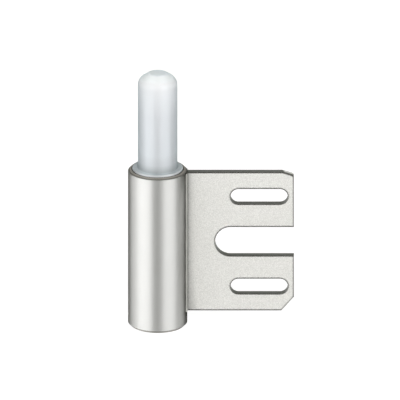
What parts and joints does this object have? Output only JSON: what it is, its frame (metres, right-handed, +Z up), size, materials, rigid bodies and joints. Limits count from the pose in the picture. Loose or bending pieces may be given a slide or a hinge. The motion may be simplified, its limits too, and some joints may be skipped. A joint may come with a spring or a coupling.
{
  "type": "door hinge frame part",
  "caption": "Frame half of an adjustable lift-off door hinge: slotted clamping plate welded to a round barrel, with an upright pivot pin in a turning plastic bearing sleeve.",
  "frame": {"origin": "centre of the barrel's foot, on the hinge axis", "axes": "+Z up along the hinge axis towards the sleeve's tip, +X along the plate away from the barrel, -Y out of the plate's front face"},
  "size_m": [0.042, 0.015, 0.068],
  "materials": {
    "barrel_steel": "satin nickel on turned steel",
    "plate_steel": "matt nickel on punched sheet",
    "weld_steel": "plated weld bead",
    "pin_steel": "ground steel",
    "sleeve_plastic": "moulded bearing plastic, milky white"
  },
  "bodies": {
    "frame_part": {"barrel": "barrel_steel", "hinge_plate": "plate_steel", "weld_bead_front": "weld_steel", "weld_bead_rear": "weld_steel", "pivot_pin": "pin_steel"},
    "sleeve": {"bearing_sleeve": "sleeve_plastic"}
  },
  "joints": [
    {"name": "sleeve_turn", "type": "hinge", "parent": "frame_part", "child": "sleeve", "pos_m": [0, 0, 0.055], "axis": [0, 0, 1], "continuous": true}
  ]
}
